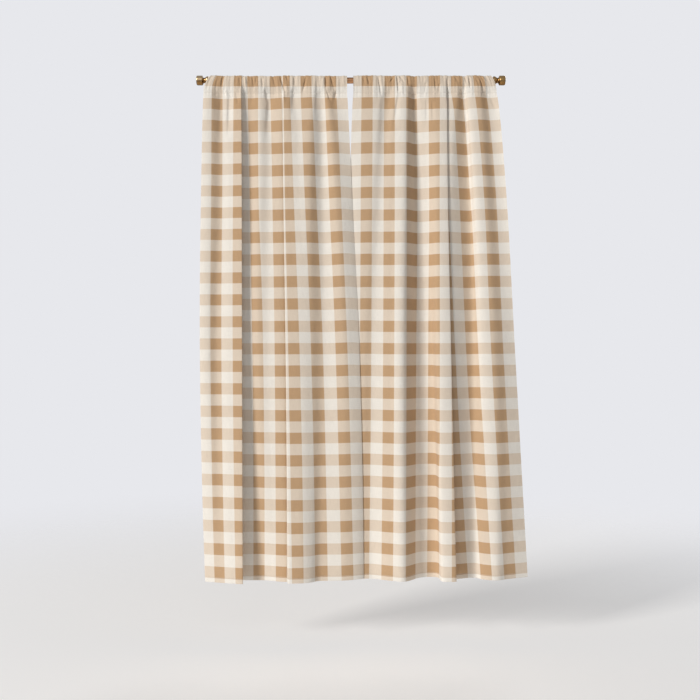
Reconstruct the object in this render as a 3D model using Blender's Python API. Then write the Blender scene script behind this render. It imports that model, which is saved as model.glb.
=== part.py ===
"""A pair of gathered gingham panels hanging from one thin brass rod with barrel finials.

X runs along the rod to the right, +Y runs back towards the wall and +Z is up. The origin is on
the rod's axis, at the middle of its length. Sizes are in metres.
"""
from collections import namedtuple
from math import cos, pi, sin, sqrt

import bmesh
import bpy

# Rod and finials
ROD_DIAMETER = 0.025
ROD_LENGTH = 1.1934
ROUND_SIDES = 32
PIECE_CLEARANCE = 0.0003
COLLAR_RADIUS = 0.017
COLLAR_LENGTH = 0.007
COLLAR_BEVEL = 0.001
WAIST_RADIUS = 0.0105
WAIST_START = 0.0170
WAIST_END = 0.0208
BARREL_RADIUS = 0.0198
BARREL_START = 0.0245
BARREL_END = 0.0500
BARREL_BEVEL = 0.0030
BARREL_BACK_BEVEL = 0.0015

# Cloth
CLOTH_THICKNESS = 0.0015
HEM_THICKNESS = 0.0022
HEM_DEPTH = 0.020
HEM_SLOPE = 0.006
HEM_ROWS = 2
STITCH_BELOW_AXIS = 0.055
DROP_BELOW_STITCH = 2.045
DROP_ROWS = 11
DROP_ROW_CROWDING = 1.6
EDGE_MERGE = 0.0001

# Rod pocket: legs rise from the stitch line to the rod and an arc passes over it
POCKET_LEG_HEIGHTS = (-0.036, -0.016)
POCKET_LEG_SPREAD = (0.50, 0.92)
POCKET_ARC_STEPS = 6
POCKET_FOLD_SHARE = 0.45
PUCKER_HEIGHT = 0.0012
PUCKER_PITCHES = (0.043, 0.027)
CORNER_REACH = 0.20

# Heights at which the fold tables give a place, as depths below the stitch line
LEVELS = (0.0, 0.403, 1.076, DROP_BELOW_STITCH)
FOLD_OPENING = 0.8

# A fold line runs down the cloth. Its across values are millimetres right of the rod's middle
# and its forward values are millimetres in front of the rod's axis, one for each level.
Fold = namedtuple("Fold", "name across forward")

# Steps are the columns between two fold lines. The outer top corner is drawn in towards the
# middle by the corner's length; outer_side is -1 on the left and 1 on the right.
Panel = namedtuple("Panel", "name folds steps corner outer_side")

LEFT_FOLDS = (
    Fold("side edge", (-616, -628, -634, -610), (6, 5, 0, 8)),
    Fold("outer ridge", (-585, -588, -598, -568), (9, 9, 8, 20)),
    Fold("outer dip", (-550, -548, -562, -536), (-4, -2, 1, 32)),
    Fold("outer face", (-512, -508, -508, -493), (2, 8, 16, 47)),
    Fold("first tuck edge", (-458, -456, -454, -447), (8, 17, 25, 52)),
    Fold("first tuck back", (-452, -486, -498, -492), (0, -1, 1, 2)),
    Fold("first valley", (-433, -429, -434, -392), (-9, -14, -12, -8)),
    Fold("second face", (-377, -385, -385, -340), (-1, 0, 1, 2)),
    Fold("second dip", (-337, -345, -348, -318), (-9, -5, 1, 7)),
    Fold("second tuck lead", (-302, -295, -288, -276), (0, 3, 8, 18)),
    Fold("second tuck back", (-291, -270, -251, -238), (-4, -3, -2, 10)),
    Fold("second tuck edge", (-284, -278, -270, -263), (4, 8, 17, 46)),
    Fold("second ridge", (-263, -255, -233, -223), (6, 12, 20, 45)),
    Fold("third dip", (-231, -218, -200, -195), (-2, 12, 18, 41)),
    Fold("third ridge", (-158, -173, -166, -166), (6, 13, 12, 28)),
    Fold("third valley", (-126, -120, -117, -136), (-4, -8, -3, 4)),
    Fold("inner ridge", (-102, -64, -25, -25), (3, 8, 10, 0)),
    Fold("inner dip", (-74, -26, 11, 30), (-6, 0, 2, -14)),
    Fold("inner edge", (-16, 4, 36, 54), (0, -7, -5, -26)),
)

RIGHT_FOLDS = (
    Fold("inner edge", (10, -4, -8, -4), (1, -12, -15, -38)),
    Fold("soft ridge", (124, 84, 55, 55), (5, 2, -8, -31)),
    Fold("soft dip", (158, 126, 93, 89), (-4, -3, -9, -32)),
    Fold("first face", (184, 170, 160, 164), (3, 6, 8, -2)),
    Fold("first ridge", (236, 228, 217, 222), (7, 13, 20, 15)),
    Fold("deep valley near side", (263, 268, 274, 292), (-12, -25, -35, -51)),
    Fold("deep valley far side", (290, 311, 330, 356), (-4, -17, -27, -50)),
    Fold("front ridge", (361, 360, 364, 384), (5, 8, 15, 13)),
    Fold("tuck edge", (402, 406, 419, 442), (5, 9, 16, 15)),
    Fold("tuck back", (410, 360, 356, 413), (-3, -5, -3, -16)),
    Fold("tuck shoulder", (450, 447, 460, 462), (0, -12, -18, -38)),
    Fold("tuck valley", (475, 499, 512, 520), (-12, -21, -24, -46)),
    Fold("outer face", (486, 517, 546, 560), (2, 3, 4, -16)),
    Fold("outer ridge", (536, 562, 596, 612), (9, 10, 13, 0)),
    Fold("outer dip", (570, 607, 643, 664), (-4, -3, 0, -22)),
    Fold("side edge", (609, 650, 690, 751), (6, 6, -8, -46)),
)

PANELS = (
    Panel("panel_left", LEFT_FOLDS, 3, 0.025, -1),
    Panel("panel_right", RIGHT_FOLDS, 4, 0.020, 1),
)

# Colours and finish
CLOTH_COLOUR = (0.72, 0.56, 0.40, 1.0)
CLOTH_ROUGHNESS = 0.85
BRASS_COLOUR = (0.42, 0.29, 0.14, 1.0)
ROD_ROUGHNESS = 0.35
FINIAL_ROUGHNESS = 0.28
SHARP_EDGE_ANGLE = 0.6


def clear_scene():
    for obj in list(bpy.data.objects):
        bpy.data.objects.remove(obj, do_unlink=True)


def make_material(name, colour, roughness, metallic):
    material = bpy.data.materials.new(name)
    material.use_nodes = True
    shader = material.node_tree.nodes["Principled BSDF"]
    shader.inputs["Base Color"].default_value = colour
    shader.inputs["Roughness"].default_value = roughness
    shader.inputs["Metallic"].default_value = metallic
    return material


def add_object(name, bm, material):
    mesh = bpy.data.meshes.new(name)
    bm.to_mesh(mesh)
    bm.free()
    mesh.shade_smooth()
    mesh.set_sharp_from_angle(angle=SHARP_EDGE_ANGLE)
    mesh.materials.append(material)
    obj = bpy.data.objects.new(name, mesh)
    bpy.context.scene.collection.objects.link(obj)
    return obj


def build_rod(material):
    """The plain rod, lying along X between the two finials."""
    bm = bmesh.new()
    bmesh.ops.create_cone(
        bm, cap_ends=True, segments=ROUND_SIDES,
        radius1=ROD_DIAMETER / 2, radius2=ROD_DIAMETER / 2, depth=ROD_LENGTH)
    rod = add_object("rod", bm, material)
    rod.rotation_euler = (0.0, pi / 2, 0.0)


def finial_outline():
    """Distance from the rod's end and radius, from the collar's face to the barrel's end."""
    return (
        (0.0, 0.0),
        (0.0, COLLAR_RADIUS - COLLAR_BEVEL),
        (COLLAR_BEVEL, COLLAR_RADIUS),
        (COLLAR_LENGTH, COLLAR_RADIUS),
        (WAIST_START, WAIST_RADIUS),
        (WAIST_END, WAIST_RADIUS),
        (BARREL_START, BARREL_RADIUS - BARREL_BEVEL),
        (BARREL_START + BARREL_BACK_BEVEL, BARREL_RADIUS),
        (BARREL_END - BARREL_BEVEL, BARREL_RADIUS),
        (BARREL_END, BARREL_RADIUS - BARREL_BEVEL),
        (BARREL_END, 0.0),
    )


def build_finial(name, side, material):
    """A turned finial on one end of the rod; side is -1 on the left and 1 on the right."""
    bm = bmesh.new()
    verts = [bm.verts.new((place, radius, 0.0)) for place, radius in finial_outline()]
    edges = [bm.edges.new(pair) for pair in zip(verts, verts[1:])]
    bmesh.ops.spin(
        bm, geom=verts + edges, cent=(0, 0, 0), axis=(1, 0, 0),
        angle=2 * pi, steps=ROUND_SIDES, use_merge=True)
    bmesh.ops.remove_doubles(bm, verts=bm.verts, dist=EDGE_MERGE)
    bmesh.ops.recalc_face_normals(bm, faces=bm.faces)
    finial = add_object(name, bm, material)
    finial.location.x = side * (ROD_LENGTH / 2 + PIECE_CLEARANCE)
    finial.rotation_euler.z = 0.0 if side > 0 else pi


def smooth_value(knots, values, at):
    """A smooth curve through values given at knots, read at one place."""
    spans = [b - a for a, b in zip(knots, knots[1:])]
    rises = [(b - a) / span for a, b, span in zip(values, values[1:], spans)]
    slopes = [(r0 * s1 + r1 * s0) / (s0 + s1)
              for r0, r1, s0, s1 in zip(rises, rises[1:], spans, spans[1:])]
    slopes = [2 * rises[0] - slopes[0]] + slopes + [2 * rises[-1] - slopes[-1]]
    k = 0
    while k < len(spans) - 1 and at > knots[k + 1]:
        k += 1
    t = (at - knots[k]) / spans[k]
    return ((1 + 2 * t) * (1 - t) ** 2 * values[k] + t * (1 - t) ** 2 * spans[k] * slopes[k]
            + t * t * (3 - 2 * t) * values[k + 1] + t * t * (t - 1) * spans[k] * slopes[k + 1])


def opening_share(depth):
    """Folds open fast below the gathers and more slowly further down."""
    return (depth / DROP_BELOW_STITCH) ** FOLD_OPENING


def cloth_section(panel, depth):
    """Across and forward places of each column of the cloth, at a depth below the stitch line."""
    knots = [opening_share(level) for level in LEVELS]
    at = opening_share(depth)
    across = [smooth_value(knots, fold.across, at) / 1000 for fold in panel.folds]
    forward = [smooth_value(knots, fold.forward, at) / 1000 for fold in panel.folds]
    along = [0.0]
    for k in range(len(across) - 1):
        reach = sqrt((across[k + 1] - across[k]) ** 2 + (forward[k + 1] - forward[k]) ** 2)
        along.append(along[-1] + sqrt(reach))
    section = []
    for k in range(len(across) - 1):
        for step in range(panel.steps):
            place = along[k] + (along[k + 1] - along[k]) * step / panel.steps
            section.append((smooth_value(along, across, place), smooth_value(along, forward, place)))
    section.append((across[-1], forward[-1]))
    return section


def loop_radii(stitch_section):
    """Radius of each column's loop over the rod: its folds and puckers stand up from the rod."""
    lowest = min(forward for across, forward in stitch_section)
    rises = []
    for across, forward in stitch_section:
        pucker = sum(sin(2 * pi * across / pitch) for pitch in PUCKER_PITCHES)
        rises.append(POCKET_FOLD_SHARE * (forward - lowest) + PUCKER_HEIGHT * pucker)
    facet = cos(pi / POCKET_ARC_STEPS / 2)
    touching = (ROD_DIAMETER / 2 + PIECE_CLEARANCE + CLOTH_THICKNESS / 2) / facet
    return [touching + rise - min(rises) for rise in rises]


def pocket_path(radius, forward):
    """Forward and height places from just above the stitch line, over the rod and down the back."""
    legs = list(zip(POCKET_LEG_HEIGHTS, POCKET_LEG_SPREAD))
    path = [(radius * spread + forward * (1 - spread), height) for height, spread in legs]
    for step in range(POCKET_ARC_STEPS + 1):
        angle = pi * step / POCKET_ARC_STEPS
        path.append((radius * cos(angle), radius * sin(angle)))
    path += [(-radius * spread + forward * (1 - spread), height) for height, spread in reversed(legs)]
    path.append((forward, -STITCH_BELOW_AXIS))
    return path


def drop_depths():
    """Depths of the rows below the stitch line, crowded near it, with three more for the hem."""
    depths = [DROP_BELOW_STITCH * (row / DROP_ROWS) ** DROP_ROW_CROWDING for row in range(DROP_ROWS)]
    hem_top = DROP_BELOW_STITCH - HEM_DEPTH
    return depths + [hem_top - HEM_SLOPE, hem_top, DROP_BELOW_STITCH]


def panel_rows(panel):
    """Rows of points from the hem up to the stitch line, over the rod and back to the stitch line."""
    stitch = cloth_section(panel, 0.0)
    rows = []
    for depth in reversed(drop_depths()):
        row = []
        for (across, forward), (start, _) in zip(cloth_section(panel, depth), stitch):
            drop = sqrt(max(depth ** 2 - (across - start) ** 2, 0.0))
            row.append((across, -forward, -STITCH_BELOW_AXIS - drop))
        rows.append(row)
    edge = stitch[0][0] if panel.outer_side < 0 else stitch[-1][0]
    paths = []
    for radius, (across, forward) in zip(loop_radii(stitch), stitch):
        paths.append(pocket_path(radius, forward))
    for step in range(len(paths[0])):
        row = []
        for path, (across, forward) in zip(paths, stitch):
            out, height = path[step]
            rise = (height + STITCH_BELOW_AXIS) / (STITCH_BELOW_AXIS + ROD_DIAMETER / 2)
            near = max(0.0, 1 - abs(edge - across) / CORNER_REACH)
            pulled = across - panel.outer_side * panel.corner * near ** 2 * rise ** 2
            row.append((pulled, -out, height))
        rows.append(row)
    return rows


def build_panel(panel, material):
    """One gathered panel: a single cut of cloth, its pocket sewn down along the stitch line."""
    rows = panel_rows(panel)
    last_row = len(rows) - 1
    last_column = len(rows[0]) - 1
    stitch_row = len(drop_depths()) - 1
    bm = bmesh.new()
    bmesh.ops.create_grid(bm, x_segments=last_column, y_segments=last_row, size=1.0)
    thick = bm.verts.layers.deform.verify()
    grid = {}
    for vert in bm.verts:
        column = round((vert.co.x + 1) / 2 * last_column)
        row = round((vert.co.y + 1) / 2 * last_row)
        vert.co = rows[row][column]
        vert[thick][0] = 1.0 if row < HEM_ROWS else CLOTH_THICKNESS / HEM_THICKNESS
        grid[row, column] = vert
    sewn = {grid[last_row, column]: grid[stitch_row, column] for column in range(last_column + 1)}
    bmesh.ops.weld_verts(bm, targetmap=sewn)
    bmesh.ops.recalc_face_normals(bm, faces=bm.faces)
    obj = add_object(panel.name, bm, material)
    obj.vertex_groups.new(name="thickness")
    solid = obj.modifiers.new("cloth thickness", "SOLIDIFY")
    solid.solidify_mode = "NON_MANIFOLD"
    solid.nonmanifold_thickness_mode = "EVEN"
    solid.nonmanifold_merge_threshold = EDGE_MERGE
    solid.thickness = HEM_THICKNESS
    solid.offset = 0.0
    solid.vertex_group = "thickness"


def main():
    clear_scene()
    build_rod(make_material("rod brass", BRASS_COLOUR, ROD_ROUGHNESS, 1.0))
    for name, side in (("finial_left", -1), ("finial_right", 1)):
        build_finial(name, side, make_material(name + " brass", BRASS_COLOUR, FINIAL_ROUGHNESS, 1.0))
    for panel in PANELS:
        build_panel(panel, make_material(panel.name + " gingham", CLOTH_COLOUR, CLOTH_ROUGHNESS, 0.0))


main()
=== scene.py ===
"""Dresses a pair of gathered gingham panels on a thin brass rod: cloth, finials, brass and studio.

X runs along the rod to the right, +Y runs back towards the wall and +Z is up. The origin is on
the rod's axis, at the middle of its length. Sizes are in metres where nothing else is said.
"""

from collections import namedtuple
from math import cos, exp, pi, radians, sin, sqrt

import bmesh
import bpy
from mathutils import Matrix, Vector


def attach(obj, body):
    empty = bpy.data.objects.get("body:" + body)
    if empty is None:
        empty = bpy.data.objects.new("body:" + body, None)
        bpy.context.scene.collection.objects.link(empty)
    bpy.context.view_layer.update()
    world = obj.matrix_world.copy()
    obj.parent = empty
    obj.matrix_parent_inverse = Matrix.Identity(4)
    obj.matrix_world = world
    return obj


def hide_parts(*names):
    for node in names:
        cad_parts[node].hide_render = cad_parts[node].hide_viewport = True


bl_info = {
    "name": "Gingham curtain pair",
    "version": (1, 0, 0),
    "blender": (4, 5, 0),
    "location": "3D View > Sidebar > Curtain",
    "description": "Hangs two gathered gingham panels on a brass rod and lights them",
    "category": "Object",
}

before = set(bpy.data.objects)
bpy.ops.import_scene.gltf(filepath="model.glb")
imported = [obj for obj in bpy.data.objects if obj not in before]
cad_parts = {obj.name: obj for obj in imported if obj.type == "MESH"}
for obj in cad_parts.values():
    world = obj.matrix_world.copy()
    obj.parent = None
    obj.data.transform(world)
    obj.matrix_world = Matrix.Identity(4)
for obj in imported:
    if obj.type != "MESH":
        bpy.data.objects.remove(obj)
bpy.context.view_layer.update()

# Rod
ROD_RADIUS = 0.0125
ROD_HALF_LENGTH = 0.5967
LEAST_CLEARANCE = 0.0003

# Cloth, as the solids have it
CLOTH_CLEARANCE = 0.0012
STITCH_BELOW_AXIS = 0.055
DROP_BELOW_STITCH = 2.045
LEVELS = (0.0, 0.403, 1.076, DROP_BELOW_STITCH)
POCKET_LEG_HEIGHTS = (-0.036, -0.016)
POCKET_LEG_SPREAD = (0.50, 0.92)
POCKET_ARC_STEPS = 6
POCKET_FOLD_SHARE = 0.22
POCKET_TOP_SHARE = 0.15
POCKET_FRONT_LOFT = 0.0015
POCKET_TOP_LOFT = 0.004
POCKET_TAIL = 0.002
STITCH_STAND = 0.010
STITCH_STAND_REACH = 0.20
CORNER_REACH = 0.20
FOLD_OPENING = 0.8

# Small forms of the cloth
SEAM_SINK = 0.0002
SEAM_REACH = 0.0030
HEM_DIMPLE = 0.0007
HEM_DIMPLE_REACH = 0.0028
PUCKERS_BELOW_STITCH = 0.016
PUCKER_TURN_BELOW = 0.15
PUCKER_SWELL_REACH = 0.014
TAKEN_IN_REACH = 0.020
CREASE_PAST_TOP = 0.012
CREASE_HIGHEST = 0.02

# Fineness of the cloth's mesh
COLUMN_PITCH = 0.0023
LEAST_COLUMNS = 3
DROP_ROWS = 130
DROP_ROW_CROWDING = 1.35
POCKET_ROW_PITCH = 0.0034
HEM_ROWS = 4
HEM_LINE_ROW = 0.0022
HEM_FACE_ROW = 0.45
HEM_FOLD_ROWS = (0.0030, 0.0008)
LEAST_ROW_SPACING = 0.004
TURN_COLUMNS = 2
TURN_BEHIND = 0.0011

# A fold line runs down the cloth. At each level, across is in millimetres right of the rod's
# middle, forward in millimetres in front of its axis, and checks counts the checks from the
# panel's first whole one.
Fold = namedtuple("Fold", "name across forward checks")

LEFT_FOLDS = (
    Fold("side edge", (-616, -628, -634, -610), (6, 5, 0, 13), (-0.38, -0.44, -0.47, -0.46)),
    Fold("outer ridge", (-585, -588, -598, -568), (9, 9, 8, 25), (-0.04, -0.03, -0.10, 0.00)),
    Fold("outer dip", (-550, -548, -562, -536), (-4, -2, 1, 34), (0.35, 0.40, 0.29, 0.35)),
    Fold("outer face", (-512, -508, -508, -493), (0, 7, 14, 46), (0.77, 0.85, 0.86, 0.83)),
    Fold("first tuck edge", (-458, -456, -454, -447), (6, 15, 22, 52), (1.35, 1.39, 1.40, 1.35)),
    Fold("first tuck back", (-463, -490, -500, -492), (0, -1, 1, 2), (2.62, 2.30, 2.11, 2.14)),
    Fold("first valley", (-430, -425, -430, -383), (-8, -12, -11, -9), (3.04, 3.02, 2.84, 3.28)),
    Fold("second face", (-377, -385, -385, -334), (-1, 0, 1, 1), (3.60, 3.52, 3.31, 3.79)),
    Fold("second dip", (-337, -345, -348, -318), (-11, -5, 1, 7), (4.02, 3.85, 3.70, 3.96)),
    Fold("second tuck lead", (-290, -286, -279, -270), (-1, 4, 9, 18), (4.49, 4.46, 4.43, 4.47)),
    Fold("second tuck back", (-276, -268, -250, -248), (-4, -4, -3, 8), (4.70, 4.68, 4.68, 4.70)),
    Fold("second tuck edge", (-284, -283, -273, -263), (4, 9, 17, 43), (4.93, 4.90, 4.88, 4.80)),
    Fold("second ridge", (-263, -255, -233, -223), (6, 12, 20, 45), (5.40, 5.31, 5.29, 5.21)),
    Fold("third dip", (-231, -218, -200, -195), (-2, 12, 18, 41), (5.79, 5.76, 5.64, 5.50)),
    Fold("third ridge", (-158, -173, -166, -166), (6, 13, 12, 28), (6.55, 6.22, 6.01, 5.82)),
    Fold("third valley", (-126, -120, -117, -136), (-4, -8, -3, 4), (6.85, 6.74, 6.49, 6.14)),
    Fold("inner ridge", (-102, -64, -25, -25), (1, 7, 10, 0), (7.08, 7.28, 7.38, 7.12)),
    Fold("inner dip", (-74, -26, 11, 30), (-6, 0, 2, -14), (7.36, 7.65, 7.75, 7.69)),
    Fold("inner edge", (-16, 4, 36, 54), (0, -8, -7, -28), (7.97, 7.96, 8.01, 7.95)),
)

RIGHT_FOLDS = (
    Fold("inner edge", (10, -4, -8, -4), (1, -12, -15, -38), (-0.36, -0.47, -0.47, -0.38)),
    Fold("soft ridge", (124, 84, 55, 55), (5, 2, -8, -31), (0.82, 0.43, 0.17, 0.27)),
    Fold("soft dip", (158, 126, 93, 89), (-4, -3, -9, -32), (1.19, 0.88, 0.56, 0.61)),
    Fold("first face", (184, 170, 160, 164), (3, 6, 8, -2), (1.49, 1.34, 1.26, 1.36)),
    Fold("first ridge", (236, 228, 217, 222), (7, 13, 20, 15), (2.05, 1.96, 1.86, 1.94)),
    Fold("deep valley near side", (263, 276, 284, 303), (-12, -31, -42, -57), (2.35, 2.43, 2.54, 2.78)),
    Fold("deep valley far side", (290, 318, 340, 368), (-4, -22, -34, -52), (2.64, 2.87, 3.14, 3.44)),
    Fold("front ridge", (361, 360, 364, 384), (5, 8, 15, 13), (3.37, 3.36, 3.40, 3.65)),
    Fold("tuck edge", (402, 406, 419, 442), (5, 9, 16, 15), (3.81, 3.86, 3.99, 4.20)),
    Fold("tuck back", (396, 360, 374, 413), (-4, -5, -3, -16), (5.80, 5.01, 4.83, 4.66)),
    Fold("tuck shoulder", (450, 418, 428, 462), (1, 0, 0, -36), (6.28, 5.62, 5.39, 5.13)),
    Fold("tuck valley", (475, 502, 516, 524), (-13, -29, -34, -49), (6.57, 6.48, 6.28, 5.73)),
    Fold("outer face", (486, 519, 549, 562), (2, 3, 4, -16), (6.68, 6.65, 6.62, 6.14)),
    Fold("outer ridge", (536, 562, 596, 612), (9, 10, 13, 0), (7.22, 7.06, 7.09, 6.68)),
    Fold("outer dip", (570, 607, 643, 664), (-4, -3, 0, -22), (7.53, 7.48, 7.52, 7.16)),
    Fold("side edge", (609, 650, 690, 751), (6, 6, -8, -46), (7.92, 7.92, 7.97, 7.97)),
)

# A crease is a soft line drawn down the cloth. Top and bottom are (across, up from the
# rod's axis) and widths are its half widths at its top and bottom, all in millimetres. A
# positive height is a ridge and a negative one a trough. Its right side is the gentler one.
Crease = namedtuple("Crease", "name top bottom widths height")
CREASE_LEAN = 2.2
CREASE_REACH = 2.6
CREASE_FADES = (0.16, 0.5)

LEFT_CREASES = (
    Crease("outer pocket mark", (-547, 14), (-542, -42), (3.2, 3.2), -3.0),
    Crease("outer streak", (-545, -52), (-549, -300), (6, 14), -2.0),
    Crease("outer twist", (-529, -42), (-514, -80), (3.2, 4.2), 3.0),
    Crease("face streak", (-510, -60), (-514, -260), (6, 8), -4.6),
    Crease("tuck pocket mark", (-467, 12), (-461, -52), (3.2, 3.2), -3.8),
    Crease("tuck pocket gleam", (-446, 16), (-441, -34), (3.2, 3.2), 4.5),
    Crease("tuck pull", (-484, -50), (-470, -112), (4, 6), -2.4),
    Crease("second pocket mark", (-413, 14), (-404, -42), (2.2, 2.2), -3.2),
    Crease("second pocket slant", (-396, 12), (-402, -35), (2.2, 2.2), -2.8),
    Crease("second pull", (-412, -58), (-420, -110), (5, 7), -1.4),
    Crease("dip pocket mark", (-373, 8), (-368, -46), (2.2, 2.2), -3.8),
    Crease("dip pull", (-360, -38), (-350, -98), (3.2, 4.2), -4.0),
    Crease("dip streak", (-344, -66), (-354, -270), (6, 12), -4.6),
    Crease("third pocket mark", (-326, 14), (-317, -36), (2.2, 2.2), -3.2),
    Crease("long slant", (-298, 14), (-271, -64), (2.2, 3.2), -4.5),
    Crease("tuck gleam", (-285, -44), (-280, -112), (3.2, 3.2), 3.0),
    Crease("fourth pocket mark", (-271, 16), (-262, -12), (2.2, 2.2), -3.0),
    Crease("wedge pocket mark", (-238, 14), (-236, -38), (2.2, 3.2), -3.8),
    Crease("wedge", (-242, -32), (-242, -150), (4, 12), -4.0),
    Crease("fifth slant", (-186, 16), (-206, -66), (2.2, 3.2), -4.2),
    Crease("valley mark", (-146, 2), (-142, -200), (5, 8), -2.6),
    Crease("valley gleam", (-118, 10), (-120, -46), (3.2, 3.2), 3.2),
    Crease("sixth pocket mark", (-107, 14), (-103, -40), (2.2, 3.2), -4.0),
    Crease("sixth hook", (-86, 16), (-70, -46), (2.2, 3.2), -4.2),
    Crease("hanging point", (-79, -42), (-79, -92), (7, 3), 3.0),
    Crease("point's left side", (-103, -42), (-86, -92), (2.2, 3.2), -3.2),
    Crease("point's right side", (-61, -42), (-72, -84), (2.2, 3.2), -3.2),
)

RIGHT_CREASES = (
    Crease("first pocket slant", (52, 10), (57, -28), (2.2, 2.2), -2.8),
    Crease("first pocket hook", (66, 14), (77, -28), (2.2, 2.2), -4.0),
    Crease("long pocket line", (113, 16), (127, -76), (2.2, 3.2), -4.5),
    Crease("soft band", (134, -66), (124, -330), (9, 14), -2.4),
    Crease("second pocket slant", (178, 10), (159, -18), (2.2, 2.2), -3.5),
    Crease("sharp line", (192, 16), (199, -74), (2.2, 2.2), -5.2),
    Crease("sharp line's foot", (199, -60), (176, -210), (4, 7), -3.0),
    Crease("crossing slant", (203, 16), (226, -22), (2.2, 2.2), -4.2),
    Crease("gleam between", (207, -12), (213, -56), (3.2, 3.2), 3.0),
    Crease("pull under the stitches", (216, -52), (233, -68), (3.2, 3.2), -2.5),
    Crease("third pocket mark", (236, 14), (240, -34), (2.2, 2.2), -3.8),
    Crease("deep mouth", (254, -18), (261, -124), (5, 10), -4.4),
    Crease("fourth pocket mark", (312, -10), (309, -62), (2.2, 2.2), -3.2),
    Crease("fourth streak", (316, -80), (318, -190), (4, 6), -2.2),
    Crease("ridge pocket mark", (350, 8), (353, -48), (2.2, 3.2), -3.5),
    Crease("ridge streak", (340, -90), (342, -180), (3, 5), -2.0),
    Crease("ridge slant", (369, -16), (366, -60), (2.2, 3.2), -2.8),
    Crease("tuck line", (401, 12), (403, -110), (3.2, 4.2), -3.8),
    Crease("fifth pocket slant", (434, 14), (447, -16), (2.2, 2.2), -3.5),
    Crease("flank pull", (460, -36), (466, -140), (4, 7), -3.6),
    Crease("short slant", (478, 14), (485, -22), (2.2, 2.2), -3.5),
    Crease("hooked mark", (495, 12), (499, -44), (2.2, 3.2), -5.0),
    Crease("sixth pocket mark", (525, 8), (532, -20), (2.2, 2.2), -3.0),
    Crease("long mark", (545, 4), (555, -62), (2.2, 3.2), -4.2),
    Crease("corner gleam", (556, 16), (573, -14), (3.2, 3.2), 3.2),
    Crease("side pull", (586, -80), (611, -134), (4, 6), -2.4),
)

# The gathers round the rod are slanting waves. Length is along the rod, and slant and start are
# in radians.
Wave = namedtuple("Wave", "size length slant start")

PUCKER_WAVES = (
    Wave(0.50, 0.0310, 1.7, 0.0),
    Wave(0.34, 0.0193, -2.6, 1.0),
    Wave(0.30, 0.0121, 3.4, 2.2),
    Wave(0.16, 0.0447, 0.0, 0.6),
)

# Corner is how far the outer top corner is drawn in. Raise is how far the rows of checks ride up
# at each level, in millimetres, on the columns before the fold with the number raised_to. In the
# pocket, the fold with the number taken_in hides more of the cloth, by a share of a check.
PanelForm = namedtuple(
    "PanelForm", "node folds creases corner outer_side raise_mm raised_to taken_in taken_checks")

LEFT_FORM = PanelForm(
    "panel_left", LEFT_FOLDS, LEFT_CREASES, corner=0.025, outer_side=-1,
    raise_mm=(-5, 7, 20, 0), raised_to=4, taken_in=11, taken_checks=0.09)
RIGHT_FORM = PanelForm(
    "panel_right", RIGHT_FOLDS, RIGHT_CREASES, corner=0.020, outer_side=1,
    raise_mm=(0, 0, 0, 0), raised_to=0, taken_in=9, taken_checks=0.0)

# Relief is the height of a bump and its strength. Edges are where a mark starts and ends its fade.
STRIPE_SOFTNESS = 0.010
SLUB_THIN, SLUB_LONG = 1500.0, 30.0
SLUB_TONE = 0.16
SLUB_RELIEF = (0.0006, 0.35)
CLOUD_SCALE = 9.0
CLOUD_TONE = 0.06
STITCH_PITCH = 0.0034
STITCH_ENDS = (0.58, 0.70)
STITCH_EDGES = (0.0006, 0.0014)
STITCH_TONE = 0.75
STITCH_RELIEF = (0.0008, 0.6)
POCKET_STITCH_SHARE = 0.4
THREAD_TAN_SHARE = 0.35
# The seam grooves at the hem and the stitch line are sunk by a bump and also darkened in colour as
# painted shade.
GROOVE_EDGES = (0.0010, 0.0050)
GROOVE_SHADE_COLOUR = (0.25, 0.17, 0.10)
GROOVE_SHADE_TONE = 0.03
GROOVE_DEPTH = 0.8
CRUMPLE_SCALE = 26.0
CRUMPLE_STRETCH = 0.55
CRUMPLE_RELIEF = (0.0035, 0.55)
WEAVE_RELIEF = (0.00015, 0.5)
CLOTH_ROUGHNESS = 0.80
CLOTH_ROUGHNESS_SPREAD = 0.16

PATCH_SCALE = 55.0
PATCH_EDGES = (0.35, 0.68)
PATCH_TONE = 0.35
SPECK_SCALE = 420.0
SPECK_EDGES = (0.60, 0.75)
SPECK_TONE = 0.25
SPECK_RELIEF = (0.0002, 0.15)
# Painted shade on the turned finials: darker on their lower side and in their narrow necks.
UNDERSIDE_SHADE_EDGES = (-0.016, 0.004)
UNDERSIDE_SHADE_TONE = 0.75
NECK_SHADE_EDGES = (0.0108, 0.0150)
NECK_SHADE_TONE = 0.85
TURNED_MARKS = 6.0
DRAWN_MARKS = (8.0, 900.0)
MARK_RELIEF = (0.0002, 0.25)
BRASS_ROUGHNESS_SPREAD = 0.08

# Each lamp looks at the middle of the curtain. Power is the name of its setting.
Lamp = namedtuple("Lamp", "name place size colour power")

LAMPS = (
    Lamp("key", (-11.4, -9.0, 4.2), (3.5, 5.1), (1.0, 0.973, 0.943), "key_power"),
    Lamp("front", (-0.4, -4.2, 1.2), (2.4, 0.6), (1.0, 1.0, 1.0), "front_power"),
    Lamp("back", (3.2, 6.4, 1.6), (3.0, 2.4), (1.0, 0.99, 0.98), "back_power"),
)
ROOM_COLOUR = (0.94, 0.96, 1.0)
FLOOR_RADIUS = 4.8
FLOOR_SIDES = 96
FLOOR_FADE = (0.9, 4.6)
FLOOR_GLOW = 0.27
FLOOR_ROUGHNESS = 0.75
FLOOR_ROUGHNESS_SPREAD = 0.1
FLOOR_CLOUD_SCALE = 3.0


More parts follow.
